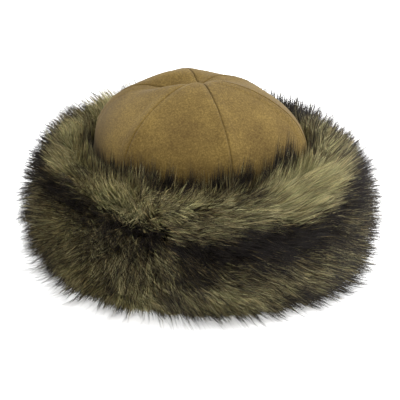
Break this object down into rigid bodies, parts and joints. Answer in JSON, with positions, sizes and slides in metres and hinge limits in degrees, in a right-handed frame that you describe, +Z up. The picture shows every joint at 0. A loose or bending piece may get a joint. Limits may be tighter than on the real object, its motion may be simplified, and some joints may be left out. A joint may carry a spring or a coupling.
{
  "type": "fur hat",
  "caption": "Round winter hat: a domed suede crown sewn from gores, inside a deep long-pile fur cuff, open below for the head.",
  "frame": {"origin": "on the surface that the hat rests on, under the middle of the crown", "axes": "+Z up through the top of the crown, -Y towards the wearer's front"},
  "size_m": [0.3297, 0.3376, 0.1695],
  "materials": {
    "suede": "tan suede with a short soft nap",
    "band": "plain brown hide side of the band",
    "fur": "long fur pile, olive beige shafts with brown-black tips"
  },
  "bodies": {
    "root": {"crown_panel_1": "suede", "crown_panel_2": "suede", "crown_panel_3": "suede", "crown_panel_4": "suede", "crown_panel_5": "suede", "crown_panel_6": "suede", "side_band": "band", "fur_cuff": "fur"}
  },
  "joints": []
}
